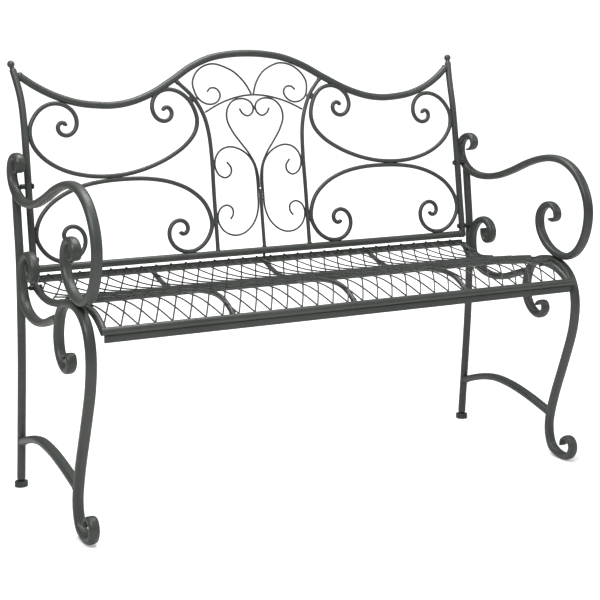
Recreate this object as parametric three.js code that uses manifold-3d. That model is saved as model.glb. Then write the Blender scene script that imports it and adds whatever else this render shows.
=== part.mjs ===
// Garden bench with scrolled steel side frames, a scroll back panel and a diamond mesh seat.
// Units are millimetres, +Z up, +X along the bench, the sitter faces -Y.
// The origin is on the floor, in the middle of the bench's outline.
import * as THREE from "three";
import { mergeVertices } from "three/addons/utils/BufferGeometryUtils.js";
import Module from "manifold-3d";

const wasm = await Module();
wasm.setup();

// ---- driving dimensions ----
const overallWidth = 1162; // over the two side frames
const seatDepth = 405; // back rail to front edge
const seatHeight = 450; // floor to the crown of the seat
const backRise = 463; // crown of the seat to the crest of the back
const gap = 0.3; // between two pieces that touch
const barWidth = 22; // oval bar of the side frames, across the bench
const barThick = 16; // the same bar, in the plane of its bends
const tipThick = 5; // the bar flattened at the end of a scroll
const legRadius = 9;
const postRadius = 7.5;
const railRadius = 8; // crest and lower rail of the back
const scrollRadius = 4.8; // rod of the big scrolls
const uprightRadius = 4.5;
const centreRadius = 4;
const wireRadius = 2.3; // rod of the heart ornament
const seatTube = 7.8; // radius of the seat's tubes
const ribRadius = 5.5;
const meshThick = 3.4;
const meshWire = 4;
const meshCells = 20; // diamonds along the bench
const meshRows = 8; // half diamonds from back to front
const footRadius = 14;
const footHeight = 12;
const boltRadius = 3;
const headRadius = 6.5;
const headThick = 4;
const sleeveRadius = 5.5;

// ---- where the planes lie ----
const frameX = overallWidth / 2 - barWidth / 2;
const postX = frameX - 27;
const seatX = frameX - 24;
// A longer back panel stretches between these two places, so that its ornament keeps its width and the
// scrolls still touch their posts.
const stretchFrom = 160;
const stretchTo = 525;
const stretched = (x) => {
  const share = (Math.abs(x) - stretchFrom) / (stretchTo - stretchFrom);
  return x + Math.sign(x) * (postX - 543) * THREE.MathUtils.clamp(share, 0, 1);
};
const reach = seatDepth / 405; // depths follow the seat
// Heights under the crown of the seat follow seatHeight, those above it follow backRise.
const high = (z) => (z < 450 ? (z * seatHeight) / 450 : seatHeight + ((z - 450) * backRise) / 463);
const side = (y, z) => new THREE.Vector3(0, y * reach, high(z));

// ---- materials ----
const steel = (color) => new THREE.MeshStandardMaterial({ color, roughness: 0.6, metalness: 0.3 });

// ---- pieces ----
const pieces = [];

function solidOf(geometry) {
  const bare = new THREE.BufferGeometry();
  const flat = geometry.index ? geometry.toNonIndexed() : geometry;
  bare.setAttribute("position", flat.getAttribute("position"));
  const merged = mergeVertices(bare, 1e-3);
  return new wasm.Manifold(
    new wasm.Mesh({
      numProp: 3,
      vertProperties: merged.attributes.position.array,
      triVerts: new Uint32Array(merged.index.array),
    }),
  );
}

function geometryOf(solid) {
  const mesh = solid.getMesh();
  const geometry = new THREE.BufferGeometry();
  geometry.setAttribute("position", new THREE.BufferAttribute(mesh.vertProperties, 3));
  geometry.setIndex(new THREE.BufferAttribute(mesh.triVerts, 1));
  geometry.computeVertexNormals();
  return geometry;
}

function near(a, b) {
  const p = a.boundingBox();
  const q = b.boundingBox();
  return [0, 1, 2].every((i) => p.min[i] < q.max[i] && q.min[i] < p.max[i]);
}

// A piece is fitted against every piece before it, so that a gap is left wherever they meet.
function add(name, make, colour) {
  let solid = solidOf(make(0));
  for (const other of pieces) {
    if (near(solid, other.wide)) {
      solid = solid.subtract(other.wide);
    }
  }
  const bodies = solid.decompose().sort((a, b) => b.volume() - a.volume());
  pieces.push({ name, colour, solid: bodies[0], wide: solidOf(make(gap)) });
}

// A pair of pieces, one on each side of the bench. make(side, grow) with side -1 or +1.
function pair(name, make, colour) {
  add(name + "_left", (grow) => make(-1, grow), colour);
  add(name + "_right", (grow) => make(1, grow), colour);
}

// ---- curves ----
const smooth = (points) => new THREE.CatmullRomCurve3(points, false, "centripetal");

// A scroll end: a spiral about (cx, cz) that starts at radius r and angle from, in degrees.
// It turns by turn degrees and shrinks as it goes.
function curl(cx, cz, r, from, turn, tight, step = 30) {
  const count = Math.round(Math.abs(turn) / step);
  const points = [];
  for (let i = 1; i <= count; i++) {
    const swept = (turn * i) / count;
    const now = r * Math.exp(-tight * Math.abs(swept));
    const angle = ((from + swept) * Math.PI) / 180;
    points.push([cx + now * Math.cos(angle), cz + now * Math.sin(angle)]);
  }
  return points;
}

// ---- sections ----
// A many-sided section whose flats lie at the radius. start turns it, in parts of a side.
function ring(radius, sides, start = 0.5) {
  const shape = new THREE.Shape();
  const corner = radius / Math.cos(Math.PI / sides);
  for (let i = 0; i < sides; i++) {
    const angle = (2 * Math.PI * (i + start)) / sides;
    const x = corner * Math.cos(angle);
    const y = corner * Math.sin(angle);
    if (i === 0) {
      shape.moveTo(x, y);
    } else {
      shape.lineTo(x, y);
    }
  }
  shape.closePath();
  return shape;
}

// A round rod along a curve.
function rod(curve, radius, steps, sides, grow) {
  return new THREE.ExtrudeGeometry(ring(radius + grow, sides), {
    extrudePath: curve,
    steps,
    bevelEnabled: false,
    curveSegments: 1,
  });
}

// An oval bar bent in the plane of a side frame: a straight bar, moved onto its curve.
// flatStart and flatEnd are the lengths over which its ends are hammered flat.
function bar(curve, x, steps, grow, flatStart, flatEnd) {
  const sides = 6;
  const length = curve.getLength();
  const straight = new THREE.ExtrudeGeometry(ring(1, sides, 0), {
    depth: length,
    steps,
    bevelEnabled: false,
    curveSegments: 1,
  });
  const place = straight.getAttribute("position");
  for (let i = 0; i < place.count; i++) {
    const along = place.getZ(i);
    const at = Math.min(Math.max(along / length, 0), 1);
    const centre = curve.getPointAt(at);
    const tangent = curve.getTangentAt(at);
    const nearStart = flatStart > 0 ? Math.min(along / flatStart, 1) : 1;
    const nearEnd = flatEnd > 0 ? Math.min((length - along) / flatEnd, 1) : 1;
    const full = Math.min(nearStart, nearEnd);
    const thick = tipThick + (barThick - tipThick) * full;
    const outY = tangent.z;
    const outZ = -tangent.y;
    const up = place.getY(i) * (thick / 2 + grow);
    const across = place.getX(i) * (barWidth / 2 + grow) * Math.cos(Math.PI / sides);
    place.setXYZ(i, x + across, centre.y + outY * up, centre.z + outZ * up);
  }
  return straight;
}

function lathe(profile, sides) {
  return new THREE.LatheGeometry(
    profile.map(([r, z]) => new THREE.Vector2(r, z)),
    sides,
  );
}

// ---- colours, one family of dark grey green ----
const dark = 0x4c514d;
const mid = 0x50554f;
const light = 0x565b56;

// ==== side frames ====
const legLine = [
  [-5, footHeight + gap], [-15, 130], [-26, 270], [-29, 360], [-27, 500], [-20, 560], [-11, 634],
];
const rearLeg = (s, grow) =>
  rod(
    smooth(
      legLine.map(([y, z], i) => {
        const point = side(y, z);
        point.x = s * frameX;
        point.z = i === 0 ? footHeight + gap - grow : point.z;
        return point;
      }),
    ),
    legRadius,
    9,
    8,
    grow,
  );

const foot = (s, grow) => {
  const r = footRadius + grow;
  const top = footHeight + grow;
  const profile = [[0, -grow], [r - 1, -grow], [r, 1], [r, footHeight - 1.5], [r - 1.5, top], [0, top]];
  const disc = lathe(profile, 16);
  return disc.rotateX(Math.PI / 2).translate(s * frameX, side(-5, 0).y, 0);
};

// Armrest: curl at the back, dip, crown, big loop in front, and a scroll inside the loop.
const armLine = [
  [-22, 675], [-36, 679], [-44, 691], [-39, 703], [-23, 708], [-4, 703], [9, 690], [13, 673], [8, 655],
  [-6, 638], [-27, 625], [-58, 617], [-98, 616], [-145, 623], [-200, 640], [-258, 662], [-305, 675],
  [-345, 680], [-385, 676], [-420, 661], [-447, 637], [-466, 606], [-474, 572], [-470, 535], [-456, 502],
  [-432, 476], [-399, 463.5], [-360, 469], [-328, 488], [-307, 518], [-306, 548], [-323, 569], [-346, 574],
  [-364, 564], [-367, 549], [-357, 539], [-344, 543],
];
const arm = (s, grow) =>
  bar(smooth(armLine.map(([y, z]) => side(y, z))), s * frameX, 50, grow, 60, 90);

// Front leg: scroll under the seat, over the front of the seat, down the S of the leg to the foot curl.
const frontLine = [
  [-303, 338], [-313, 348], [-326, 347], [-331, 334], [-322, 321], [-306, 316], [-283, 325], [-266, 345],
  [-260, 372], [-265, 402], [-279, 428], [-303, 444], [-335, 450], [-366, 449], [-394, 439], [-416, 421],
  [-430, 395], [-436, 365], [-435, 335], [-428, 297], [-412, 250], [-393, 200], [-373, 148], [-360, 107],
  [-353, 72], [-356, 42], [-367, 20], [-386, 10.8], [-409, 8.3], [-429, 15], [-438, 33], [-432, 49],
  [-418, 53], [-406, 45], [-404, 32],
];
const frontLeg = (s, grow) =>
  bar(smooth(frontLine.map(([y, z]) => side(y, z))), s * frameX, 50, grow, 70, 60);

// Brace: a scroll in front of the rear leg that runs down and forward to the front leg's scroll.
const braceBack = -28 - (legRadius + barThick / 2) / reach;
const braceLine = [
  [-88, 490], [-91, 472], [-103, 461], [-116, 467], [-121, 485], [-110, 503], [-87, 510], [-62, 500],
  [-45, 478], [braceBack, 452], [-47, 422], [-66, 398], [-98, 384], [-140, 380], [-185, 387], [-225, 400],
  [-262, 412],
];
const brace = (s, grow) =>
  bar(smooth(braceLine.map(([y, z]) => side(y, z))), s * frameX, 30, grow, 60, 0);

const stretcherLine = [
  [-14, 99], [-60, 115], [-105, 127], [-152, 133], [-213, 129], [-272, 118], [-330, 103], [-360, 95],
];
const stretcher = (s, grow) =>
  bar(smooth(stretcherLine.map(([y, z]) => side(y, z))), s * frameX, 13, grow, 0, 0);

// ==== back panel ====
// The panel leans back and curls further back at the top: lean(z) is its depth at height z.
const leanLine = smooth([
  new THREE.Vector3(0, -41, 450), new THREE.Vector3(0, -25, 550), new THREE.Vector3(0, -11, 650),
  new THREE.Vector3(0, 5, 750), new THREE.Vector3(0, 15, 800), new THREE.Vector3(0, 33, 850),
  new THREE.Vector3(0, 54, 900), new THREE.Vector3(0, 63, 920),
]);
const leanTable = leanLine.getPoints(120);
function lean(z) {
  const found = leanTable.findIndex((p) => p.z >= z);
  const i = Math.max(found < 0 ? leanTable.length - 1 : found, 1);
  const a = leanTable[i - 1];
  const b = leanTable[i];
  return a.y + ((b.y - a.y) * (z - a.z)) / (b.z - a.z);
}
const panel = (x, z) => new THREE.Vector3(x, lean(z) * reach, high(z));
// Points of a back panel curve, for the side s, from its drawing for the right half.
const drawn = (points, s) => smooth(points.map(([x, z]) => panel(s * stretched(x), z)));

const postLine = [[543, 462], [543, 560], [543, 680], [543, 780], [544, 825], [548, 860], [553, 889]];
const post = (s, grow) => rod(drawn(postLine, s), postRadius, 10, 8, grow);

const finial = (s, grow) => {
  const ball = 8 + grow;
  const profile = [[0, -8 - grow], [4 + grow, -8 - grow], [4 + grow, -6.5]];
  for (let i = 1; i <= 5; i++) {
    const angle = -Math.PI / 2 + Math.PI * (0.16 + (0.84 * i) / 5);
    profile.push([i === 5 ? 0 : ball * Math.cos(angle), ball * Math.sin(angle)]);
  }
  const axis = panel(553, 889).sub(panel(548, 860));
  axis.x *= s;
  const upward = new THREE.Vector3(0, 1, 0);
  const turn = new THREE.Quaternion().setFromUnitVectors(upward, axis.clone().normalize());
  const tip = panel(s * stretched(553), 889).add(axis.setLength(8 + gap));
  return lathe(profile, 10).applyQuaternion(turn).translate(tip.x, tip.y, tip.z);
};

const crestLine = [
  [546, 876], [508, 849], [467, 828], [420, 813], [375, 807], [340, 806], [297, 812], [246, 829],
  [193, 856], [141, 885], [93, 903], [44, 911], [0, 913],
];
const crest = (grow) => {
  const right = crestLine.map(([x, z]) => panel(stretched(x), z));
  const left = crestLine.slice(0, -1).map(([x, z]) => panel(-stretched(x), z));
  return rod(smooth([...left, ...right.reverse()]), railRadius, 36, 6, grow);
};

const lowerRail = (grow) =>
  rod(smooth([panel(-postX, 471), panel(postX, 471)]), railRadius, 1, 8, grow);

const uprightLine = [
  [116.5, 471], [116.5, 606], [116, 690], [119.5, 743], [129, 781], [150, 820], [186, 857],
];
const upright = (s, grow) => rod(drawn(uprightLine, s), uprightRadius, 12, 6, grow);

const centreTop = 609;
const centrePost = (grow) =>
  rod(smooth([panel(0, 471), panel(0, centreTop)]), centreRadius, 1, 8, grow);

// Upper scroll: curl beside the post, long sweep, curl under the crest.
const reversed = (points) => points.slice().reverse();
const upperScroll = (s, grow) => {
  const line = [
    ...reversed(curl(457, 764.6, 73.2, 0, 540, 0.00506)),
    [530.5, 764.6], [529, 733], [514, 708], [488, 686], [453, 669], [410, 658.5], [374, 655.3],
    [335, 656.5], [303, 661], [258, 673], [213, 692], [174, 717], [151, 744], [145, 773],
    ...curl(218.4, 789, 73.2, 191, -540, 0.0046),
  ];
  return rod(drawn(line, s), scrollRadius, 44, 5, grow);
};

const lowerScroll = (s, grow) => {
  const line = [
    ...reversed(curl(458, 532.2, 74, 0, -530, 0.0047)),
    [532, 532.2], [527, 565], [505, 596], [472, 619], [428, 636], [385, 644], [330, 647.2],
    [270, 645], [217, 634.5], [172, 614], [139, 582], [126.3, 537],
    ...curl(199, 530, 73, 175, 515, 0.0047),
  ];
  return rod(drawn(line, s), scrollRadius, 44, 5, grow);
};

// Ornament between the two inner uprights, bent from thin rod.
const archLine = [
  [124, 784], [98, 797], [73, 807], [37, 816.5], [0, 820], [-37, 816.5], [-73, 807], [-98, 797],
  [-124, 784],
];
const arch = (grow) => rod(drawn(archLine, 1), wireRadius, 12, 5, grow);

const plume = [
  [2.6, 822], [14, 846], [35, 870], [58, 883], [85, 890.5], [112, 885], [133, 870], [144, 850],
  [143, 832], [136, 815], [121, 804], [103, 802], [87, 810], [81, 824], [89, 836], [103, 837],
  [112, 829],
];
const heart = [
  [38, 790.5], [30, 778.5], [18, 773.5], [7, 779.5], [2.6, 791.5], [8, 804], [21, 811], [36, 812],
  [54, 806.5], [68, 790], [71, 767], [61, 742], [42, 715], [23, 690], [10, 666], [3.5, 640],
  [2.6, centreTop + 3],
];
const kidney = [
  [80, 673], [70, 659], [72, 646], [85, 638], [101, 645], [109.5, 664], [106, 684], [92, 700],
  [70, 706], [46, 700], [25, 685], [12, 664], [7.4, 635], [7.2, 600], [8.5, 567], [18, 540],
  [36, 520], [58, 510], [80, 511], [99, 522], [109.5, 541], [109.5, 558], [102, 571], [87, 577],
  [74, 570], [72, 557], [80, 545],
];
const thin = (line, steps) => (s, grow) => rod(drawn(line, s), wireRadius, steps, 5, grow);

// ==== seat ====
// Middle of the mesh from back to front, as seen from the side.
const seatLine = smooth(
  [
    [-28, 456], [-60, 444], [-100, 434], [-140, 431], [-185, 434.5], [-235, 442], [-285, 450],
    [-330, 454.5], [-362, 454.5], [-388, 449.5], [-412, 437.5], [-437, 419.5],
  ].map(([y, z]) => side(y, z)),
);
const seatLength = seatLine.getLength();
// The profile is folded at each row of diamonds, so that the mesh, the tubes and the ribs agree.
const folds = Array.from({ length: meshRows + 1 }, (_, j) => seatLine.getPointAt(j / meshRows));
// Point at the part t of the profile's length, drop below the middle of the mesh.
function seatPoint(t, drop, x) {
  const at = Math.min(Math.max(t, 0), 1);
  const j = Math.min(Math.floor(at * meshRows), meshRows - 1);
  const centre = folds[j].clone().lerp(folds[j + 1], at * meshRows - j);
  const tangent = seatLine.getTangentAt(at);
  return new THREE.Vector3(x, centre.y + tangent.z * drop, centre.z + tangent.y * drop);
}
// The tubes lie under the mesh, with room for the chords between its folds.
function under(radius) {
  return meshThick / 2 + 3 * gap + radius;
}
// A tube that follows the seat's profile from the fold first to the fold last.
function seatRun(x, radius, sides, grow, first = 0, last = meshRows) {
  const points = [];
  for (let j = first; j <= last; j++) {
    points.push(seatPoint(j / meshRows, under(radius), x));
  }
  return rod(smooth(points), radius, last - first, sides, grow);
}
const across = (point, from, to, radius, sides, grow) =>
  rod(
    new THREE.LineCurve3(
      new THREE.Vector3(from, point.y, point.z),
      new THREE.Vector3(to, point.y, point.z),
    ),
    radius,
    1,
    sides,
    grow,
  );

const rimAt = side(-443.5, 414.5);
const rearAt = side(-31, 448.5);
const middleFold = 3; // the middle rail lies under this fold
const middleAt = seatPoint(middleFold / meshRows, under(seatTube), 0);

const frontRim = (grow) => across(rimAt, -seatX - seatTube, seatX + seatTube, seatTube, 10, grow);
const sideRim = (s, grow) => seatRun(s * seatX, seatTube, 8, grow);
const rearRail = (grow) => across(rearAt, -seatX, seatX, seatTube, 8, grow);
const middleRail = (grow) => across(middleAt, -seatX, seatX, seatTube, 8, grow);
const ribX = [-275, 0, 275];
const rearRib = (x) => (grow) => seatRun(stretched(x), ribRadius, 6, grow, 0, middleFold);
const frontRib = (x) => (grow) => seatRun(stretched(x), ribRadius, 6, grow, middleFold, meshRows);

const apronDepth = 14;
const apron = (grow) =>
  new THREE.BoxGeometry(2 * seatX + 2 * grow, 4 + 2 * grow, apronDepth + 2 * grow).translate(
    0,
    rimAt.y,
    rimAt.z - seatTube - gap - apronDepth / 2,
  );

// Mesh: a flat sheet of diamonds, bent over the profile of the seat.
const mesh = (grow) => {
  const halfX = seatX / meshCells;
  const stepS = seatLength / meshRows;
  const slope = stepS / halfX;
  const inset = (meshWire / 2) * Math.hypot(1, 1 / slope);
  const hx = halfX - inset;
  const hy = hx * slope;
  const last = 2 * meshCells;
  const x = (i) => (i - meshCells) * halfX;
  const y = (j) => j * stepS;
  const outline = [];
  for (let i = 0; i <= last; i++) {
    if (i % 2 === 1) outline.push([x(i) - hx, 0], [x(i), hy], [x(i) + hx, 0]);
    else if (i === 0 || i === last) outline.push([x(i), 0]);
  }
  for (let j = 1; j <= meshRows; j++) {
    if (j % 2 === 1) {
      if (j === meshRows) outline.push([x(last), y(j) - hy]);
      else outline.push([x(last), y(j) - hy], [x(last) - hx, y(j)], [x(last), y(j) + hy]);
    }
  }
  for (let i = last; i >= 0; i--) {
    if ((i + meshRows) % 2 === 1) {
      if (i === last) outline.push([x(i) - hx, y(meshRows)]);
      else if (i === 0) outline.push([x(i) + hx, y(meshRows)]);
      else outline.push([x(i) + hx, y(meshRows)], [x(i), y(meshRows) - hy], [x(i) - hx, y(meshRows)]);
    }
  }
  for (let j = meshRows; j >= 1; j--) {
    if (j % 2 === 1) {
      if (j === meshRows) outline.push([x(0), y(j) - hy]);
      else outline.push([x(0), y(j) + hy], [x(0) + hx, y(j)], [x(0), y(j) - hy]);
    }
  }
  const shape = new THREE.Shape(outline.map(([a, b]) => new THREE.Vector2(a, b)));
  for (let j = 1; j < meshRows; j++) {
    for (let i = 1; i < last; i++) {
      if ((i + j) % 2 === 0) continue;
      const hole = new THREE.Path();
      hole.moveTo(x(i) - hx, y(j));
      hole.lineTo(x(i), y(j) + hy);
      hole.lineTo(x(i) + hx, y(j));
      hole.lineTo(x(i), y(j) - hy);
      hole.closePath();
      shape.holes.push(hole);
    }
  }
  const thick = meshThick + 2 * grow;
  const sheet = new THREE.ExtrudeGeometry(shape, { depth: thick, bevelEnabled: false, curveSegments: 1 });
  const place = sheet.getAttribute("position");
  for (let i = 0; i < place.count; i++) {
    const point = seatPoint(place.getY(i) / seatLength, place.getZ(i) - thick / 2, place.getX(i));
    place.setXYZ(i, point.x, point.y, point.z);
  }
  return sheet;
};

// ==== bolts ====
// A bolt across the bench, its six-sided head on the inner side of the tube it holds, with a spacer
// sleeve between that tube, whose radius is held, and the side frame.
const bolt = (y, z, x, held, frame) => (s, grow) => {
  const r = boltRadius + grow;
  const h = headRadius + grow;
  const sleeve = sleeveRadius + grow;
  const inner = x - held - gap;
  const outer = x + held + gap;
  const profile = [
    [0, inner - headThick - grow], [h, inner - headThick - grow], [h, inner + grow], [r, inner + grow],
    [r, outer - grow], [sleeve, outer - grow], [sleeve, frame - gap + grow], [r, frame - gap + grow],
    [r, frame + 4 + grow], [0, frame + 4 + grow],
  ];
  const turned = lathe(profile, 6);
  return s > 0
    ? turned.rotateZ(-Math.PI / 2).translate(0, y, z)
    : turned.rotateZ(Math.PI / 2).translate(0, y, z);
};
const upperBolt = panel(0, 643);
const lowerBolt = panel(0, 490);
const rearSeatBolt = seatPoint(0.07, under(seatTube), 0);
const frontSeatBolt = seatPoint(0.78, under(seatTube), 0);
const legInner = frameX - legRadius;
const barInner = frameX - barWidth / 2;

// The centre stud ties the back panel's lower rail to the seat's rear rail.
const stud = (grow) =>
  lathe([[0, rearAt.z], [boltRadius + grow, rearAt.z], [boltRadius + grow, high(471)], [0, high(471)]], 8)
    .rotateX(Math.PI / 2)
    .translate(0, (panel(0, 471).y + rearAt.y) / 2, 0);

// ==== the bench, piece by piece ====
pair("foot_disc", foot, dark);
pair("rear_leg", rearLeg, mid);
pair("armrest", arm, light);
pair("front_leg", frontLeg, light);
pair("brace", brace, mid);
pair("stretcher", stretcher, mid);
pair("back_bolt_upper", bolt(upperBolt.y, upperBolt.z, postX, postRadius, legInner), dark);
pair("back_bolt_lower", bolt(lowerBolt.y, lowerBolt.z, postX, postRadius, legInner), dark);
pair("seat_bolt_rear", bolt(rearSeatBolt.y, rearSeatBolt.z, seatX, seatTube, legInner), dark);
pair("seat_bolt_front", bolt(frontSeatBolt.y, frontSeatBolt.z, seatX, seatTube, barInner), dark);
add("centre_stud", stud, dark);
pair("back_post", post, mid);
pair("finial", finial, light);
add("back_crest", crest, mid);
add("back_lower_rail", lowerRail, mid);
pair("inner_upright", upright, mid);
add("centre_post", centrePost, mid);
pair("scroll_upper", upperScroll, mid);
pair("scroll_lower", lowerScroll, mid);
add("ornament_arch", arch, dark);
pair("ornament_plume", thin(plume, 24), dark);
pair("ornament_heart", thin(heart, 24), dark);
pair("ornament_kidney", thin(kidney, 30), dark);
add("seat_front_rim", frontRim, light);
pair("seat_side_rim", sideRim, mid);
add("seat_rear_rail", rearRail, mid);
add("seat_middle_rail", middleRail, mid);
ribX.forEach((x, i) => add("seat_rib_rear_" + (i + 1), rearRib(x), mid));
ribX.forEach((x, i) => add("seat_rib_front_" + (i + 1), frontRib(x), mid));
add("seat_apron", apron, mid);
add("seat_mesh", mesh, dark);

const bench = new THREE.Group();
bench.name = "garden_bench";
for (const piece of pieces) {
  const body = new THREE.Mesh(geometryOf(piece.solid), steel(piece.colour));
  body.name = piece.name;
  bench.add(body);
}

const box = new THREE.Box3().setFromObject(bench);
bench.position.y = -(box.min.y + box.max.y) / 2;

export default bench;
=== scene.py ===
# %% [markdown]
# # A garden bench in powder-coated steel
# The imported model is the frame that everything here is built on. It is loaded first, and the boxes
# of its pieces place the new ones.

import bpy
import numpy as np
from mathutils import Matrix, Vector


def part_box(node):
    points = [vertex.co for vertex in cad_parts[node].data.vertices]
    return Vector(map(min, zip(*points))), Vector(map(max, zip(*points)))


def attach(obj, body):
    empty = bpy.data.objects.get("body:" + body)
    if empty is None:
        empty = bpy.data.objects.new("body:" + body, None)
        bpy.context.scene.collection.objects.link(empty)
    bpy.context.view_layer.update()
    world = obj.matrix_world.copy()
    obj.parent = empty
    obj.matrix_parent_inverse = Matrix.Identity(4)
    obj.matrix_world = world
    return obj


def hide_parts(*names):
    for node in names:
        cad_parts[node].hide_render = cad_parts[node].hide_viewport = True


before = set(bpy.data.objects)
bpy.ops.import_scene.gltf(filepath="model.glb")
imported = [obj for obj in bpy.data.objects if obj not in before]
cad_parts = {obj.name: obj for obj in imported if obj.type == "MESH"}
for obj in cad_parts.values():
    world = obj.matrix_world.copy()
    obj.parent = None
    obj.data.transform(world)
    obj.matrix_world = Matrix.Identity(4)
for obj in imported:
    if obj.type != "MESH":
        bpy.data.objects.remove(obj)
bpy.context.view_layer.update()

print("it has", len(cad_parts), "nodes")

# %% [markdown]
# ## Where the planes of the bench lie
# A bench like this is three flat things bolted together: a side frame at each end, a back panel, and
# a seat. Each is drawn in its own plane, in millimetres, with depths counted from a plane just behind
# the middle of the rear feet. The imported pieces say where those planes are.

# %% The planes, the unit and the step
MM = 0.001
STEP = 2.5 * MM  # between two points of a line
FINE_STEP = 1.5 * MM  # the same for a thin rod
LEG_CENTRE = 5 * MM  # the rear foot's middle stands this far in front of the depth's zero


def middle(node):
    """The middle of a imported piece's box."""
    least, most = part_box(node)
    return (np.array(least) + np.array(most)) / 2


FRAME_X = middle("foot_disc_right")[0]
POST_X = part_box("back_lower_rail")[1][0]
SEAT_X = middle("seat_side_rim_right")[0]
REAR_Y = middle("foot_disc_right")[1] + LEG_CENTRE
SIDES = (("left", -1), ("right", 1))
print(f"side frames at x = {FRAME_X:.3f} m, posts at {POST_X:.3f} m, seat rims at {SEAT_X:.3f} m")

# %% [markdown]
# ## Lines
# Bent bar follows no simple arc, but a smith bends it fair, with no kinks. A spline through a few
# points does the same. The centripetal kind is used, because it never loops or overshoots where the
# points are close together, as they are inside a scroll.

# %% A fair line through a few points


def evenly(line, spacing):
    """The same line with points at equal distances: its length is summed, then read off at even steps."""
    steps = np.linalg.norm(np.diff(line, axis=0), axis=1)
    along = np.concatenate([[0], np.cumsum(steps)])
    wanted = np.linspace(0, along[-1], max(int(round(along[-1] / spacing)), 2) + 1)
    return np.stack([np.interp(wanted, along, line[:, i]) for i in range(3)], axis=1)


def fair(points, spacing=STEP):
    """A line through the points. Between b and c it is the cubic from b to c whose end slopes come from
    the points before and after, each weighed by the square root of its distance."""
    p = np.asarray(points, float)
    p = np.vstack([2 * p[0] - p[1], p, 2 * p[-1] - p[-2]])
    a, b, c, d = p[:-3], p[1:-2], p[2:-1], p[3:]
    ab, bc, cd = [np.sqrt(np.linalg.norm(v - u, axis=1))[:, None] for u, v in ((a, b), (b, c), (c, d))]
    leave = ((b - a) / ab - (c - a) / (ab + bc) + (c - b) / bc) * bc
    arrive = ((c - b) / bc - (d - b) / (bc + cd) + (d - c) / cd) * bc
    t = np.linspace(0, 1, 25)[:-1, None, None]
    square = (3 * (c - b) - 2 * leave - arrive) * t**2
    cubic = (2 * (b - c) + leave + arrive) * t**3
    curve = (b + leave * t + square + cubic).transpose(1, 0, 2).reshape(-1, 3)
    return evenly(np.vstack([curve, c[-1:]]), spacing)


def side_line(points, s):
    """A side frame's line: (depth, height) in millimetres, in the plane x = s * FRAME_X."""
    p = np.asarray(points, float) * MM
    return fair(np.stack([np.full(len(p), s * FRAME_X), p[:, 0] + REAR_Y, p[:, 1]], axis=1))


def scroll(cx, cz, radius, start, turn, tight, step=30):
    """The points of a scroll about (cx, cz): the angle goes evenly from start by turn degrees, and the
    radius falls as exp(-tight * degrees), which is a logarithmic spiral."""
    count = int(round(abs(turn) / step))
    swept = turn * np.arange(1, count + 1) / count
    now = radius * np.exp(-tight * np.abs(swept))
    angle = np.radians(start + swept)
    return np.stack([cx + now * np.cos(angle), cz + now * np.sin(angle)], axis=1)


print("a test line of 100 mm has", len(fair([[0, 0, 0], [0.05, 0, 0], [0.1, 0, 0]])), "points")

# %% [markdown]
# ## Bars, rods and turned parts as surfaces
# Every piece of the bench is a section carried along a line, or a profile turned about an axis. Both
# are one grid of points: one direction goes round the section, the other goes along the piece. The
# whole grid is worked out at once, and one function makes it a mesh with a pole at each end, so each
# piece is closed.

# %% From grids to a piece


def skin(rings, first, last):
    """Points and faces of a closed surface: quads between neighbouring rings, and a fan of triangles
    from the first ring to the point first and from the last ring to the point last."""
    n, m = rings.shape[:2]
    points = np.vstack([rings.reshape(-1, 3), first, last])
    i, j = np.meshgrid(np.arange(n - 1), np.arange(m), indexing="ij")
    k = (j + 1) % m
    quads = np.stack([i * m + j, i * m + k, (i + 1) * m + k, (i + 1) * m + j], axis=-1).reshape(-1, 4)
    j = np.arange(m)
    k = (j + 1) % m
    start = np.stack([np.full(m, n * m), k, j], axis=1)
    end = np.stack([np.full(m, n * m + 1), (n - 1) * m + j, (n - 1) * m + k], axis=1)
    return points, quads, np.vstack([start, end])


def piece(name, skins, material, nodes, sharp=40):
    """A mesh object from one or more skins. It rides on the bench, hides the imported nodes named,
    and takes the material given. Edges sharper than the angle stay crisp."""
    offset = np.cumsum([0] + [len(part[0]) for part in skins[:-1]])
    points = np.vstack([part[0] for part in skins])
    quads = np.vstack([part[1] + o for part, o in zip(skins, offset)])
    fans = np.vstack([part[2] + o for part, o in zip(skins, offset)])
    corners = np.concatenate([quads.ravel(), fans.ravel()])
    starts = np.concatenate([np.arange(len(quads)) * 4, len(quads) * 4 + np.arange(len(fans)) * 3])
    mesh = bpy.data.meshes.new(name)
    mesh.vertices.add(len(points))
    mesh.vertices.foreach_set("co", points.astype(np.float32).ravel())
    mesh.loops.add(len(corners))
    mesh.loops.foreach_set("vertex_index", corners.astype(np.int32))
    mesh.polygons.add(len(starts))
    mesh.polygons.foreach_set("loop_start", starts.astype(np.int32))
    mesh.polygons.foreach_set("use_smooth", np.ones(len(starts), bool))
    mesh.update(calc_edges=True)
    mesh.validate()
    mesh.set_sharp_from_angle(angle=np.radians(sharp))
    mesh.materials.append(material)
    made = bpy.data.objects.new(name, mesh)
    bpy.context.scene.collection.objects.link(made)
    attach(made, "root")
    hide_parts(*nodes)
    return made


# %% A section carried along a line


TIP_THICK = 5 * MM
WELD_SPREAD = 2.5 * MM
WELD_REACH = 8 * MM


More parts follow.
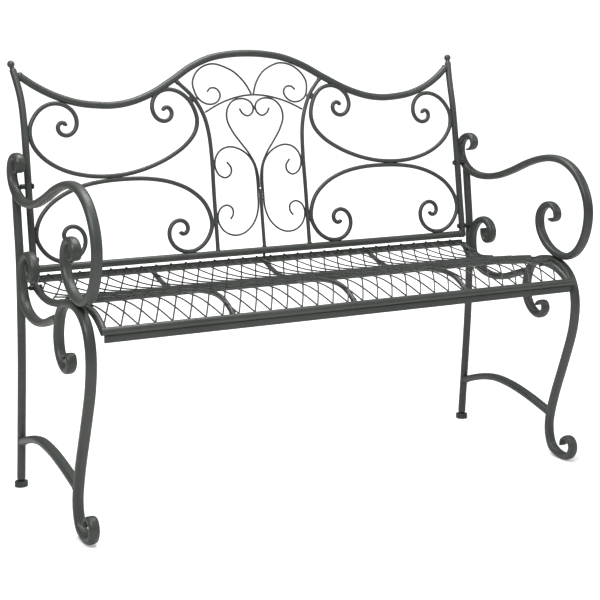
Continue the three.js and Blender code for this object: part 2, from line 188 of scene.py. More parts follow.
def carried(line, across, wide, thick, sides=16, power=2.0, tips=(0, 0), swell=(), dome=1.0):
    """A bar along a line. At the distance d along it, the point at the angle a of the section is
    line(d) + wide/2 * cos(a)^(2/power) * w + thick/2 * sin(a)^(2/power) * t
    where w is the direction across made square to the line, and t is square to both. A power of 2 is an
    ellipse and a higher one a flatter oval. Over the length tips the bar thins to TIP_THICK, as if
    hammered. Each swell (d, height) adds height * exp(-((distance from d) / WELD_SPREAD)^2) for a weld.
    The ends close as half domes whose length is dome times half the thickness."""
    steps = np.linalg.norm(np.diff(line, axis=0), axis=1)
    along = np.concatenate([[0], np.cumsum(steps)])
    length = along[-1]
    turn = np.radians(np.arange(15, 91, 15))
    first, last = [(TIP_THICK if tip else thick) / 2 * dome for tip in tips]
    inner = np.linspace(first, length - last, max(len(line) - 1, 3))
    close = []
    for at, _ in swell:
        least, most = max(at - WELD_REACH, first), min(at + WELD_REACH, length - last)
        close.append(np.linspace(least, most, 15))
    inner = np.unique(np.concatenate([inner, *close]).round(7))
    rise = turn[:-1]
    fall = rise[::-1]
    d = np.concatenate([first * (1 - np.cos(rise)), inner, length - last * (1 - np.cos(fall))])
    shrink = np.concatenate([np.sin(rise), np.ones(len(inner)), np.sin(fall)])
    centre = np.stack([np.interp(d, along, line[:, i]) for i in range(3)], axis=1)
    slope = np.gradient(line, along, axis=0)
    ahead = np.stack([np.interp(d, along, slope[:, i]) for i in range(3)], axis=1)
    ahead /= np.linalg.norm(ahead, axis=1)[:, None]
    w = np.asarray(across, float) - (ahead @ np.asarray(across, float))[:, None] * ahead
    w /= np.linalg.norm(w, axis=1)[:, None]
    t = np.cross(ahead, w)
    full = np.ones(len(d))
    for tip, distance in zip(tips, (d, length - d)):
        if tip:
            full = np.minimum(full, np.clip(distance / tip, 0, 1))
    full = full * full * (3 - 2 * full)
    half_thick = np.full(len(d), thick / 2)
    if any(tips):
        half_thick = (TIP_THICK + (thick - TIP_THICK) * full) / 2
    bump = np.zeros(len(d))
    for at, height in swell:
        bump = bump + height * np.exp(-(((d - at) / WELD_SPREAD) ** 2))
    a = 2 * np.pi * np.arange(sides) / sides
    cos = np.sign(np.cos(a)) * np.abs(np.cos(a)) ** (2 / power)
    sin = np.sign(np.sin(a)) * np.abs(np.sin(a)) ** (2 / power)
    reach_w = ((wide / 2 + bump) * shrink)[:, None, None]
    reach_t = ((half_thick + bump) * shrink)[:, None, None]
    sideways = reach_w * cos[None, :, None] * w[:, None]
    upwards = reach_t * sin[None, :, None] * t[:, None]
    return skin(centre[:, None] + sideways + upwards, line[0], line[-1])


def rod(line, across, radius, **more):
    """A round rod: a bar as wide as it is thick."""
    return carried(line, across, 2 * radius, 2 * radius, **more)


SLANTED = (0.3, 0.5, 0.81)  # a direction that no axis of the bench shares


def turned(profile, origin, axis, sides=32, around=None):
    """A turned part: each (radius, height) of the profile, in metres, swept round the axis through the
    origin. around(angle), where given, multiplies the radius, so that a six-sided head is possible."""
    z = np.asarray(axis, float) / np.linalg.norm(axis)
    x = np.cross(z, SLANTED)
    x /= np.linalg.norm(x)
    y = np.cross(z, x)
    a = 2 * np.pi * np.arange(sides) / sides
    grow = np.ones(sides) if around is None else around(a)
    p = np.asarray(profile, float)
    ring = (np.cos(a)[:, None] * x + np.sin(a)[:, None] * y) * grow[:, None]
    rings = origin + p[1:-1, 0][:, None, None] * ring[None] + p[1:-1, 1][:, None, None] * z
    return skin(rings, origin + p[0, 1] * z, origin + p[-1, 1] * z)


test = rod(fair([[0, 0, 0], [0.05, 0, 0], [0.1, 0, 0]]), (0, 0, 1), 5 * MM)
print("a 100 mm rod has", len(test[1]), "quads and", len(test[2]), "triangles")

# %% [markdown]
# ## The finish
# The whole bench is mild steel with one coat of polyester powder, sprayed on dry and baked. The cured
# powder is a plastic film: it reflects like plastic, not like metal, and hides the steel. It is satin,
# and it never lies quite flat. Two marks give it away: orange peel, which is a soft waviness about
# 2 mm across, and a fine grain from the powder itself, about 0.4 mm. The coat pools slightly in places,
# so the grey green drifts a little from one bar to the next.

# %% Colours and nodes


def linear(hex_colour):
    """An sRGB colour such as '#505752' as the linear numbers that shaders use."""
    s = np.array([int(hex_colour[i : i + 2], 16) for i in (1, 3, 5)]) / 255
    value = np.where(s <= 0.04045, s / 12.92, ((s + 0.055) / 1.055) ** 2.4)
    return (*value.tolist(), 1.0)


def node(tree, kind, settings=None, **links):
    """Adds a node. settings holds its properties and the values of its sockets, and each link joins an
    output to the socket of that name, where _ stands for a space."""
    made = tree.nodes.new(kind)
    for key, value in (settings or {}).items():
        if hasattr(made, key):
            setattr(made, key, value)
        else:
            made.inputs[key].default_value = value
    for key, output in links.items():
        tree.links.new(output, made.inputs[key.replace("_", " ")])
    return made


def powder_coat(name, pale, deep, roughness, grain):
    """Polyester powder on steel. pale and deep are the coat where it is thin and where it pools. grain is
    the height of the powder's grain in millimetres."""
    made = bpy.data.materials.new(name)
    made.use_nodes = True
    tree = made.node_tree
    tree.nodes.clear()
    place = node(tree, "ShaderNodeTexCoord").outputs["Object"]
    drift = node(tree, "ShaderNodeTexNoise", {"Scale": 9.0, "Detail": 3.0, "Roughness": 0.6}, Vector=place)
    peel = node(tree, "ShaderNodeTexNoise", {"Scale": 1 / (2.2 * MM), "Detail": 1.0}, Vector=place)
    powder = node(tree, "ShaderNodeTexNoise", {"Scale": 1 / (0.7 * MM), "Detail": 2.0}, Vector=place)
    tone = node(
        tree,
        "ShaderNodeMapRange",
        {"From Min": 0.3, "From Max": 0.7, "To Min": 0.0, "To Max": 1.0},
        Value=drift.outputs["Fac"],
    )
    speck = node(
        tree,
        "ShaderNodeMapRange",
        {"From Min": 0.35, "From Max": 0.65, "To Min": 0.93, "To Max": 1.07},
        Value=powder.outputs["Fac"],
    )
    colour = node(tree, "ShaderNodeMix", {"data_type": "RGBA"})
    colour.inputs[6].default_value = linear(deep)
    colour.inputs[7].default_value = linear(pale)
    tree.links.new(tone.outputs["Result"], colour.inputs[0])
    specked = node(tree, "ShaderNodeHueSaturation", Value=speck.outputs["Result"], Color=colour.outputs[2])
    gloss = node(
        tree,
        "ShaderNodeMapRange",
        {"From Min": 0.3, "From Max": 0.7, "To Min": roughness - 0.05, "To Max": roughness + 0.05},
        Value=drift.outputs["Fac"],
    )
    waves = node(tree, "ShaderNodeBump", {"Strength": 0.5, "Distance": 0.08 * MM}, Height=peel.outputs["Fac"])
    grit = node(
        tree,
        "ShaderNodeBump",
        {"Strength": 0.6, "Distance": grain * MM},
        Height=powder.outputs["Fac"],
        Normal=waves.outputs["Normal"],
    )
    shader = node(
        tree,
        "ShaderNodeBsdfPrincipled",
        {"IOR": 1.5, "Metallic": 0.0, "Specular IOR Level": 0.4},
        Base_Color=specked.outputs["Color"],
        Roughness=gloss.outputs["Result"],
        Normal=grit.outputs["Normal"],
    )
    node(tree, "ShaderNodeOutputMaterial", Surface=shader.outputs["BSDF"])
    return made


frame_coat = powder_coat("grey-green powder-coated steel", "#3f433f", "#353936", 0.44, 0.05)
wire_coat = powder_coat("grey-green powder-coated wire", "#3a3e3b", "#303431", 0.46, 0.04)
bolt_finish = powder_coat("blackened steel fastener", "#292b2a", "#202221", 0.4, 0.02)
foot_coat = powder_coat("grey-green powder-coated foot", "#373b38", "#2d302e", 0.5, 0.05)
print("finishes:", [m.name for m in bpy.data.materials])

# %% [markdown]
# ## Side frames
# Each side frame is five bars. The rear leg is a round tube, because it only has to carry weight. The
# rest is an oval bar, 22 mm wide and 16 mm thick, which bends easily the flat way and looks broad from
# the side. Its free ends are hammered thin and rolled into scrolls, which is why the bars below have
# tips that thin out. Where one bar meets another there is a weld, drawn as a small swelling.

# %% The lines of the side frame
leg_line = [(-5, 11), (-15, 130), (-26, 270), (-29, 360), (-27, 500), (-20, 560), (-11, 634)]
arm_line = [
    (-22, 675), (-36, 679), (-44, 691), (-39, 703), (-23, 708), (-4, 703), (9, 690), (13, 673), (8, 655),
    (-6, 638), (-27, 625), (-58, 617), (-98, 616), (-145, 623), (-200, 640), (-258, 662), (-305, 675),
    (-345, 680), (-385, 676), (-420, 661), (-447, 637), (-466, 606), (-474, 572), (-470, 535), (-456, 502),
    (-432, 476), (-399, 463.5), (-360, 469), (-328, 488), (-307, 518), (-306, 548), (-323, 569), (-346, 574),
    (-364, 564), (-367, 549), (-357, 539), (-344, 543),
]
front_line = [
    (-303, 338), (-313, 348), (-326, 347), (-331, 334), (-322, 321), (-306, 316), (-283, 325), (-266, 345),
    (-260, 372), (-265, 402), (-279, 428), (-303, 444), (-335, 450), (-366, 449), (-394, 439), (-416, 421),
    (-430, 395), (-436, 365), (-435, 335), (-428, 297), (-412, 250), (-393, 200), (-373, 148), (-360, 107),
    (-353, 72), (-356, 42), (-367, 20), (-386, 10.8), (-409, 8.3), (-429, 15), (-438, 33), (-432, 49),
    (-418, 53), (-406, 45), (-404, 32),
]
brace_line = [
    (-88, 490), (-91, 472), (-103, 461), (-116, 467), (-121, 485), (-110, 503), (-87, 510), (-62, 500),
    (-45, 478), (-41, 452), (-47, 422), (-66, 398), (-98, 384), (-140, 380), (-185, 387), (-225, 400),
    (-262, 412),
]
stretcher_line = [
    (-14, 99), (-60, 115), (-105, 127), (-152, 133), (-213, 129), (-272, 118), (-330, 103), (-360, 95),
]
LEG_R = 9 * MM
WELD_H = 1.2 * MM  # how far a weld on a heavy bar stands out
BAR_WIDE, BAR_THICK = 22 * MM, 16 * MM
OVAL = 2.6
ACROSS = (1, 0, 0)

# %% Five bars on each side


def oval_bar(line, **more):
    """The side frame's oval bar along a line."""
    return carried(line, ACROSS, BAR_WIDE, BAR_THICK, 28, OVAL, **more)


for side, s in SIDES:
    leg = side_line(leg_line, s)
    top_weld = [(len(leg) * STEP - 3 * MM, WELD_H)]
    skins = [rod(leg, ACROSS, LEG_R, sides=24, swell=top_weld)]
    piece(f"rear_leg_tube_{side}", skins, frame_coat, [f"rear_leg_{side}"])
    arm = side_line(arm_line, s)
    skins = [oval_bar(arm, tips=(60 * MM, 90 * MM), dome=0.6)]
    piece(f"arm_bar_{side}", skins, frame_coat, [f"armrest_{side}"])
    skins = [oval_bar(side_line(front_line, s), tips=(70 * MM, 60 * MM), dome=0.6)]
    piece(f"front_leg_bar_{side}", skins, frame_coat, [f"front_leg_{side}"])
    skins = [oval_bar(side_line(brace_line, s), tips=(60 * MM, 0), dome=0.6)]
    piece(f"brace_bar_{side}", skins, frame_coat, [f"brace_{side}"])
    arch = side_line(stretcher_line, s)
    end_welds = [(8 * MM, WELD_H), (len(arch) * STEP - 9 * MM, WELD_H)]
    skins = [oval_bar(arch, swell=end_welds)]
    piece(f"stretcher_bar_{side}", skins, frame_coat, [f"stretcher_{side}"])
print("arm bar: %.0f mm long" % (len(arm) * STEP / MM))

# %% [markdown]
# The rear legs stand on round discs with a rolled edge, which are turned parts: a profile swept round
# an upright axis.

# %% Foot discs
FOOT_R, FOOT_H = 14 * MM, 12 * MM
LOW_ROUND, TOP_ROUND = 1 * MM, 2.5 * MM
bend = np.radians(np.arange(0, 91, 15))
low_bend = np.stack([np.sin(bend), -np.cos(bend)], axis=1)
top_bend = np.stack([np.cos(bend), np.sin(bend)], axis=1)
low_edge = (FOOT_R - LOW_ROUND, LOW_ROUND) + LOW_ROUND * low_bend
top_edge = (FOOT_R - TOP_ROUND, FOOT_H - TOP_ROUND) + TOP_ROUND * top_bend
sole, collar = [(0, 0), (FOOT_R * 0.6, 0)], [(LEG_R + 1 * MM, FOOT_H), (0, FOOT_H)]
foot_profile = np.vstack([sole, low_edge, top_edge, collar])
for side, s in SIDES:
    base = middle(f"foot_disc_{side}") * (1, 1, 0)
    skins = [turned(foot_profile, base, (0, 0, 1), 48)]
    piece(f"foot_{side}", skins, foot_coat, [f"foot_disc_{side}"], 50)

# %% [markdown]
# ## The back panel
# The back is a panel of rods that all lie in one leaning surface, which curls away from the sitter at
# the top. So each rod is drawn flat, as across and up, and a single line gives the depth for each
# height. The heavy round rods are the posts and the crest, the lighter ones the scrolls.

# %% The lean of the panel
lean_line = fair(
    [
        (0, -41, 450), (0, -25, 550), (0, -11, 650), (0, 5, 750), (0, 15, 800), (0, 33, 850),
        (0, 54, 900), (0, 63, 920),
    ],
    1.0,
)


def panel_line(points, s=1, spacing=STEP):
    """A rod of the back panel from (across, up) in millimetres, with its depth read from the lean."""
    p = np.asarray(points, float)
    depth = np.interp(p[:, 1], lean_line[:, 2], lean_line[:, 1])
    return fair(np.stack([s * p[:, 0] * MM, depth * MM + REAR_Y, p[:, 1] * MM], axis=1), spacing)


FORWARD = (0, -1, 0.15)
print("the panel leans back by %.0f mm" % (lean_line[-1, 1] - lean_line[0, 1]))

# %% Posts, crest and lower rail
post_line = [(543, 462), (543, 560), (543, 680), (543, 780), (544, 825), (548, 860), (553, 889)]
crest_half = [
    (546, 876), (508, 849), (467, 828), (420, 813), (375, 807), (340, 806), (297, 812), (246, 829),
    (193, 856), (141, 885), (93, 903), (44, 911), (0, 913),
]
crest_line = [(-x, z) for x, z in crest_half[:-1]] + crest_half[::-1]
POST_R, RAIL_R, SCROLL_R, UPRIGHT_R, CENTRE_R, WIRE_R = [r * MM for r in (7.5, 8, 4.8, 4.5, 4, 2.2)]
for side, s in SIDES:
    post = panel_line(post_line, s)
    piece(f"post_tube_{side}", [rod(post, FORWARD, POST_R, sides=24)], frame_coat, [f"back_post_{side}"])
crest = panel_line(crest_line)
end_weld = [(7 * MM, WELD_H), (len(crest) * STEP - 10 * MM, WELD_H)]
piece("crest_tube", [rod(crest, FORWARD, RAIL_R, sides=24, swell=end_weld)], frame_coat, ["back_crest"])
rail = panel_line([(-543, 471), (0, 471), (543, 471)])
end_weld = [(POST_R, WELD_H), (2 * 543 * MM - POST_R, WELD_H)]
skins = [rod(rail, FORWARD, RAIL_R, sides=24, swell=end_weld)]
piece("lower_rail_tube", skins, frame_coat, ["back_lower_rail"])
print("crest tube: %.2f m long" % (len(crest) * STEP))

# %% Finials: a ball on a short neck, closing each post
BALL_R = 8 * MM
for side, s in SIDES:
    tip, below = panel_line([(s * 553, 889), (s * 548, 860)])[[0, -1]]
    axis = (tip - below) / np.linalg.norm(tip - below)
    centre = middle(f"finial_{side}") + axis * 0.2 * MM
    up = np.radians(np.arange(-58, 90, 8))
    ball = np.stack([BALL_R * np.cos(up), BALL_R * np.sin(up)], axis=1)
    neck = [(0, -9 * MM), (5.5 * MM, -9 * MM), (5.2 * MM, -8 * MM), (4.2 * MM, -7.2 * MM)]
    skins = [turned(np.vstack([neck, ball, [(0, BALL_R)]]), centre, axis, 32)]
    piece(f"finial_ball_{side}", skins, frame_coat, [f"finial_{side}"])
print("finials: balls of %.0f mm" % (2 * BALL_R / MM))

# %% Uprights and the centre post
upright_line = [(116.5, 471), (116.5, 606), (116, 690), (119.5, 743), (129, 781), (150, 820), (186, 857)]
CENTRE_TOP = 609
for side, s in SIDES:
    upright = panel_line(upright_line, s)
    welds = [(RAIL_R + 0.5 * MM, 1 * MM), (len(upright) * STEP - RAIL_R - 4 * MM, 1 * MM)]
    skins = [rod(upright, FORWARD, UPRIGHT_R, sides=16, swell=welds)]
    piece(f"upright_rod_{side}", skins, frame_coat, [f"inner_upright_{side}"])
centre_post = panel_line([(0, 471), (0, 540), (0, CENTRE_TOP)])
welds = [(RAIL_R + 0.5 * MM, 1 * MM)]
piece("centre_post_rod", [rod(centre_post, FORWARD, CENTRE_R, swell=welds)], frame_coat, ["centre_post"])
print("uprights: %.0f mm long" % (len(upright) * STEP / MM))

# %% [markdown]
# ## Scrolls
# The four big scrolls are long sweeps that end in spirals. A smith winds the end of the rod round a
# scroll iron, whose curve tightens steadily, and a logarithmic spiral has just that habit.

# %% The big scrolls
upper_sweep = [
    (530.5, 764.6), (529, 733), (514, 708), (488, 686), (453, 669), (410, 658.5), (374, 655.3),
    (335, 656.5), (303, 661), (258, 673), (213, 692), (174, 717), (151, 744), (145, 773),
]
upper_ends = scroll(457, 764.6, 73.2, 0, 540, 0.00506)[::-1], scroll(218.4, 789, 73.2, 191, -540, 0.0046)
upper_line = np.vstack([upper_ends[0], upper_sweep, upper_ends[1]])
lower_sweep = [
    (532, 532.2), (527, 565), (505, 596), (472, 619), (428, 636), (385, 644), (330, 647.2),
    (270, 645), (217, 634.5), (172, 614), (139, 582), (126.3, 537),
]
lower_ends = scroll(458, 532.2, 74, 0, -530, 0.0047)[::-1], scroll(199, 530, 73, 175, 515, 0.0047)
lower_line = np.vstack([lower_ends[0], lower_sweep, lower_ends[1]])
scrolls = {}
for side, s in SIDES:
    for place, points in (("upper", upper_line), ("lower", lower_line)):
        scrolls[place, side] = panel_line(points, s, FINE_STEP)
        skins = [rod(scrolls[place, side], FORWARD, SCROLL_R, sides=16, dome=0.5)]
        piece(f"scroll_rod_{place}_{side}", skins, frame_coat, [f"scroll_{place}_{side}"])
print("each upper scroll takes %.2f m of rod" % (len(scrolls["upper", "left"]) * FINE_STEP))

# %% The thin ornament between the uprights
arch_line = [
    (124, 784), (98, 797), (73, 807), (37, 816.5), (0, 820), (-37, 816.5), (-73, 807), (-98, 797),
    (-124, 784),
]
plume_line = [
    (2.6, 822), (14, 846), (35, 870), (58, 883), (85, 890.5), (112, 885), (133, 870), (144, 850),
    (143, 832), (136, 815), (121, 804), (103, 802), (87, 810), (81, 824), (89, 836), (103, 837),
    (112, 829),
]
heart_line = [
    (38, 790.5), (30, 778.5), (18, 773.5), (7, 779.5), (2.6, 791.5), (8, 804), (21, 811), (36, 812),
    (54, 806.5), (68, 790), (71, 767), (61, 742), (42, 715), (23, 690), (10, 666), (3.5, 640),
    (2.6, CENTRE_TOP + 3),
]
kidney_line = [
    (80, 673), (70, 659), (72, 646), (85, 638), (101, 645), (109.5, 664), (106, 684), (92, 700),
    (70, 706), (46, 700), (25, 685), (12, 664), (7.4, 635), (7.2, 600), (8.5, 567), (18, 540),
    (36, 520), (58, 510), (80, 511), (99, 522), (109.5, 541), (109.5, 558), (102, 571), (87, 577),
    (74, 570), (72, 557), (80, 545),
]
ornament = {}
for name, points in (("plume", plume_line), ("heart", heart_line), ("kidney", kidney_line)):
    for side, s in SIDES:
        ornament[name, side] = panel_line(points, s, FINE_STEP)
        skins = [rod(ornament[name, side], FORWARD, WIRE_R, sides=12, dome=0.5)]
        piece(f"{name}_rod_{side}", skins, wire_coat, [f"ornament_{name}_{side}"])
piece("arch_rod", [rod(panel_line(arch_line), FORWARD, WIRE_R, sides=12)], wire_coat, ["ornament_arch"])
print("ornament rod: %.1f m in all" % (FINE_STEP * sum(len(line) for line in ornament.values())))

# %% [markdown]
# ## The seat
# The seat is a shallow dish: it dips behind the thighs and rolls over the front rim. Its section, from
# the back rail to the front rim, is one line, and every tube of the seat and every wire of the mesh
# follows it at its own depth.

# %% The dish of the seat
dish_points = np.array([
    (0, -28, 456), (0, -60, 444), (0, -100, 434), (0, -140, 431), (0, -185, 434.5), (0, -235, 442),
    (0, -285, 450), (0, -330, 454.5), (0, -362, 454.5), (0, -388, 449.5), (0, -412, 437.5),
    (0, -437, 419.5),
])
dish = fair(dish_points * MM + (0, REAR_Y, 0), 1 * MM)
dish_along = np.concatenate([[0], np.cumsum(np.linalg.norm(np.diff(dish, axis=0), axis=1))])
dish_length = dish_along[-1]
dish_slope = np.gradient(dish, dish_along, axis=0)


def on_dish(x, d, drop):
    """Points of the seat at the distances d from the back and the widths x, drop below the wires: the
    section's point, moved along its downward normal."""
    y, z = [np.interp(d, dish_along, dish[:, i]) for i in (1, 2)]
    sy, sz = [np.interp(d, dish_along, dish_slope[:, i]) for i in (1, 2)]
    return np.stack([x + 0 * y, y + sz * drop, z + sy * drop], axis=-1)


MESH_HALF = 1.7 * MM  # half the thickness of the mesh
MESH_ROOM = 0.9 * MM  # between the mesh's underside and a tube


def under(radius):
    """The depth of the middle of a tube that carries the mesh."""
    return MESH_HALF + MESH_ROOM + radius


print("the dish is %.0f mm from back to front" % (1000 * dish_length))

# %% Rims, rails, ribs and apron
SEAT_R, RIB_R = 7.8 * MM, 5.5 * MM
rim, rear, cross = [middle(name) for name in ("seat_front_rim", "seat_rear_rail", "seat_middle_rail")]


def straight(point, half):
    """A line along the bench through the point."""
    return np.linspace([-half, point[1], point[2]], [half, point[1], point[2]], 12)


UP = (0, 0, 1)
skins = [rod(straight(rim, SEAT_X + SEAT_R), UP, SEAT_R, sides=32, dome=0.25)]
piece("front_rim_tube", skins, frame_coat, ["seat_front_rim"])
skins = [rod(straight(rear, SEAT_X), UP, SEAT_R, sides=24)]
piece("rear_rail_tube", skins, frame_coat, ["seat_rear_rail"])
skins = [rod(straight(cross, SEAT_X), UP, SEAT_R, sides=24)]
piece("cross_rail_tube", skins, frame_coat, ["seat_middle_rail"])
run = np.linspace(0, dish_length, 180)
for side, s in SIDES:
    skins = [rod(on_dish(s * SEAT_X, run, under(SEAT_R)), ACROSS, SEAT_R, sides=24)]
    piece(f"side_rim_tube_{side}", skins, frame_coat, [f"seat_side_rim_{side}"])
cross_at = dish_along[np.abs(dish[:, 1] - cross[1]).argmin()]
for part, near, far in (("rear", 0, cross_at), ("front", cross_at, dish_length)):
    welds = [(SEAT_R + 1 * MM, 1 * MM), (far - near - SEAT_R - 2 * MM, 1 * MM)]
    for i in (1, 2, 3):
        x = middle(f"seat_rib_{part}_{i}")[0]
        line = on_dish(x, np.linspace(near, far, 90), under(RIB_R))
        skins = [rod(line, ACROSS, RIB_R, sides=16, swell=welds)]
        piece(f"rib_rod_{part}_{i}", skins, frame_coat, [f"seat_rib_{part}_{i}"])
print("front rim at depth %.3f m, height %.3f m" % (rim[1], rim[2]))

# %% [markdown]
# The apron under the front rim is a flat bar on edge. A flat bar is rolled hot, so its corners are
# slightly round: its section is an oval of a very high power.

# %% The apron bar
least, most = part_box("seat_apron")
apron_mid = (np.array(least) + np.array(most)) / 2
apron_line = straight(apron_mid, most.x)
skins = [carried(apron_line, (0, 1, 0), most.y - least.y, most.z - least.z, 40, 9, dome=0.02)]
piece("apron_bar", skins, frame_coat, ["seat_apron"])
print("apron bar: %.0f x %.0f mm" % (1000 * (most.z - least.z), 1000 * (most.y - least.y)))

# %% [markdown]
# ## The mesh
# The seat's mesh is two sets of straight wires that cross at a slant and are welded where they cross.
# Flat, it is a pattern of diamonds about 35 mm wide and 71 mm deep. Each wire is therefore a
# straight line in the flat seat, across against depth, that is then laid on the dish. The wires of
# one set lie on those of the other, and their welds press them a quarter of a wire into each other.

# %% Wires laid on the dish
DIAMONDS, HALF_ROWS = 31, 12
WIRE = 1.7 * MM
LOWER_SET = under(0) - WIRE
pitch = 2 * SEAT_X / DIAMONDS
row = dish_length / HALF_ROWS
slant = pitch / 2 / row
wires = []
for lean, drop in ((1, LOWER_SET - 1.5 * WIRE), (-1, LOWER_SET)):
    for k in range(-HALF_ROWS // 2, DIAMONDS + HALF_ROWS // 2 + 1):
        start_x = -SEAT_X + k * pitch
        d = np.linspace(0, dish_length, 130)
        x = start_x + lean * slant * d
        inside = np.abs(x) <= SEAT_X
        if inside.sum() > 8:
            wires.append(rod(on_dish(x[inside], d[inside], drop), ACROSS, WIRE, sides=8, dome=0.5))
piece("seat_wires", wires, wire_coat, ["seat_mesh"])
print(len(wires), "wires, diamonds %.1f x %.1f mm" % (1000 * pitch, 2000 * row))

# %% [markdown]
# ## Bolts
# The back panel and the seat are bolted to the side frames, so that the bench packs flat. Each bolt
# has a six-sided head on a washer, and a sleeve keeps the two tubes apart. A hexagon turned about its
# axis is a circle whose radius is the flat's distance divided by the cosine of the angle from the
# nearest flat.

# %% Six-sided heads, washers and shanks


def hexagon(a):
    """The reach of a hexagon at the angle a, for a flat at 1: 1 / cos(angle from the nearest flat)."""
    return 1 / np.cos((a + np.pi / 6) % (np.pi / 3) - np.pi / 6)


HEAD_R, HEAD_H, SHANK_R, SLEEVE_R = 5.4 * MM, 3.4 * MM, 3 * MM, 5.5 * MM
WASHER_R, WASHER_TOP, EDGE = 6.5 * MM, 4.1 * MM, 0.4 * MM
head = [
    (0, 0), (HEAD_R * 0.5, 0), (HEAD_R * 0.86, 0.1 * MM), (HEAD_R, 0.7 * MM), (HEAD_R, HEAD_H),
    (0, HEAD_H),
]
washer = [
    (0, HEAD_H), (WASHER_R - 0.3 * MM, HEAD_H), (WASHER_R, HEAD_H + 0.2 * MM), (WASHER_R, WASHER_TOP),
    (0, WASHER_TOP),
]
held = {
    "back_bolt_upper": 2 * POST_R,
    "back_bolt_lower": 2 * POST_R,
    "seat_bolt_rear": 2 * SEAT_R,
    "seat_bolt_front": 2 * SEAT_R,
}
for side, s in SIDES:
    for name, tube in held.items():
        least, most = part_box(f"{name}_{side}")
        inner = least.x if s > 0 else most.x
        reach = most.x - least.x
        origin = np.array([inner, (least.y + most.y) / 2, (least.z + most.z) / 2])
        outward = (s, 0, 0)
        shank = [
            (0, 3.9 * MM), (SHANK_R, 3.9 * MM), (SHANK_R, reach - EDGE), (SHANK_R * 0.8, reach),
            (0, reach),
        ]
        near, far = 4 * MM + tube, reach - 4 * MM
        sleeve = [
            (0, near), (SLEEVE_R - EDGE, near), (SLEEVE_R, near + EDGE), (SLEEVE_R, far - EDGE),
            (SLEEVE_R - EDGE, far), (0, far),
        ]
        skins = [turned(head, origin, outward, 48, hexagon), turned(washer, origin, outward, 32)]
        skins += [turned(shank, origin, outward, 24), turned(sleeve, origin, outward, 32)]
        piece(f"bolt_{name}_{side}", skins, bolt_finish, [f"{name}_{side}"], 25)
least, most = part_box("centre_stud")
stud_base = np.array([(least.x + most.x) / 2, (least.y + most.y) / 2, least.z])
height = most.z - least.z
stud = [(0, -2 * MM), (SHANK_R, -2 * MM), (SHANK_R, height + 2 * MM), (0, height + 2 * MM)]
piece("stud_pin", [turned(stud, stud_base, (0, 0, 1), 24)], bolt_finish, ["centre_stud"])
print("heads are %.1f mm across the flats" % (2000 * HEAD_R))

# %% [markdown]
# ## Welds
# Where a scroll only touches its neighbour, the two are joined by a short bead of weld, dressed and
# coated over. Such a bead sits in the crevice between two lines at the place where they come closest,
# so the places are found from the lines themselves.

# %% Beads in the crevices


def bead(one, other, length, radius):
    """A weld bead where two lines come closest: an egg of that length along the first line, centred
    between the two, whose half width is the radius."""
    gaps = np.linalg.norm(one[:, None] - other[None], axis=2)
    i, j = np.unravel_index(gaps.argmin(), gaps.shape)
    centre = (one[i] + other[j]) / 2
    ahead = one[min(i + 2, len(one) - 1)] - one[max(i - 2, 0)]
    v = np.radians(np.linspace(-90, 90, 13))
    profile = np.stack([radius * np.cos(v), length / 2 * np.sin(v)], axis=1)
    profile[[0, -1], 0] = 0
    return turned(profile, centre, ahead, 16)


beads = []
for side, s in SIDES:
    post = panel_line(post_line, s)
    upright = panel_line(upright_line, s)
    upper, lower = scrolls["upper", side], scrolls["lower", side]
    touching = [(upper, line) for line in (post, crest, upright, lower)]
    touching += [(lower, line) for line in (post, upright, rail)]
    for a, b in touching:
        beads.append(bead(a, b, 16 * MM, 3.0 * MM))
    kidney, heart, plume = [ornament[name, side] for name in ("kidney", "heart", "plume")]
    touching = [(kidney, upright), (kidney, centre_post), (plume, crest), (plume, upright)]
    touching += [(heart, panel_line(arch_line))]
    for a, b in touching:
        beads.append(bead(a, b, 9 * MM, 1.9 * MM))
both = [ornament["heart", side] for side, s in SIDES]
beads.append(bead(both[0], both[1], 9 * MM, 1.9 * MM))
piece("weld_beads", beads, frame_coat, [])
print(len(beads), "beads")

# %% [markdown]
# ## Floor, light and camera
# A dark, satin bench shows its shape by soft light from above. A large lamp hangs over the front left,
# another straight above, and a weaker one fills the right. The floor and the world look white, so that
# the open lines of the bench stand out, but they shine less than they look: their glow is meant for
# the camera's rays, and the undersides of the bars stay dark.

# %% Floor
half = 40.0
corners = np.array([(-half, -half, 0), (half, -half, 0), (half, half, 0), (-half, half, 0)])
floor_mesh = bpy.data.meshes.new("floor")
floor_mesh.from_pydata(corners.tolist(), [], [(0, 1, 2, 3)])
floor = bpy.data.objects.new("floor", floor_mesh)
bpy.context.scene.collection.objects.link(floor)
matt = bpy.data.materials.new("matt white board")
matt.use_nodes = True
board = matt.node_tree.nodes["Principled BSDF"]
board.inputs["Base Color"].default_value = linear("#f7f7f6")
board.inputs["Roughness"].default_value = 0.9
board.inputs["Specular IOR Level"].default_value = 0.1
board.inputs["Emission Color"].default_value = linear("#ffffff")

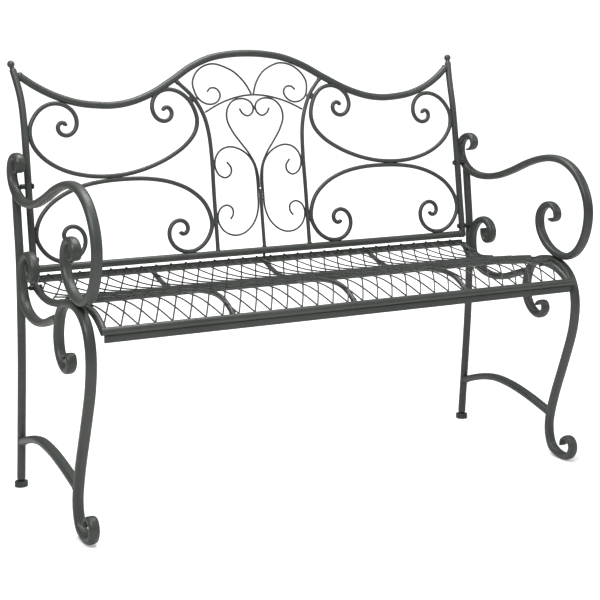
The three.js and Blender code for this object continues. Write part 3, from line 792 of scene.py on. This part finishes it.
# The lamps reach less of the floor far away, so its glow grows from 0.8 m to 3 m from the bench.
ground = matt.node_tree
place = node(ground, "ShaderNodeTexCoord").outputs["Object"]
away = node(ground, "ShaderNodeVectorMath", {"operation": "LENGTH"}, Vector=place).outputs["Value"]
growth = {"From Min": 0.8, "From Max": 3.0, "To Min": 0.3, "To Max": 1.0}
glow = node(ground, "ShaderNodeMapRange", growth, Value=away)
looked_at = node(ground, "ShaderNodeLightPath").outputs["Is Camera Ray"]
lift = node(ground, "ShaderNodeMath", {"operation": "MULTIPLY"})
ground.links.new(glow.outputs["Result"], lift.inputs[0])
ground.links.new(looked_at, lift.inputs[1])
ground.links.new(lift.outputs["Value"], board.inputs["Emission Strength"])
floor_mesh.materials.append(matt)

# %% World and lamps
world = bpy.data.worlds.new("studio")
bpy.context.scene.world = world
world.use_nodes = True
world.node_tree.nodes.clear()
seen = node(world.node_tree, "ShaderNodeLightPath").outputs["Is Camera Ray"]
strength = node(world.node_tree, "ShaderNodeMapRange", {"To Min": 0.3, "To Max": 1.05}, Value=seen)
white = {"Color": linear("#ffffff")}
sky = node(world.node_tree, "ShaderNodeBackground", white, Strength=strength.outputs["Result"])
node(world.node_tree, "ShaderNodeOutputWorld", Surface=sky.outputs["Background"])


def lamp(name, place, target, size, watts):
    """A square soft lamp at the place, facing the target."""
    data = bpy.data.lights.new(name, "AREA")
    data.size = size
    data.energy = watts
    made = bpy.data.objects.new(name, data)
    made.location = place
    made.rotation_euler = (Vector(target) - Vector(place)).to_track_quat("-Z", "Y").to_euler()
    bpy.context.scene.collection.objects.link(made)
    return made


lamp("key", (-1.6, -1.8, 3.0), (0, 0, 0.5), 1.1, 80)
lamp("fill", (2.6, -1.6, 2.0), (0, 0, 0.4), 1.2, 16)
lamp("top", (0.2, 0.3, 3.2), (0, 0, 0.5), 1.3, 80)
bpy.context.scene.view_settings.view_transform = "Standard"

# %% [markdown]
# The bench is seen from its front left, from a little above the crest. The camera looks slightly down,
# and a small shift brings the bench to the middle without tilting further, so the legs stay upright.

# %% Camera
lens = bpy.data.cameras.new("camera")
camera = bpy.data.objects.new("camera", lens)
camera.location = (-1.530, -2.784, 0.990)
azimuth, down = np.radians(28.76), np.radians(6.56)
gaze = Vector((np.sin(azimuth) * np.cos(down), np.cos(azimuth) * np.cos(down), -np.sin(down)))
camera.rotation_euler = gaze.to_track_quat("-Z", "Y").to_euler()
lens.sensor_width = 36
lens.lens = 89.1
lens.shift_y = -0.183
bpy.context.scene.collection.objects.link(camera)
bpy.context.scene.camera = camera
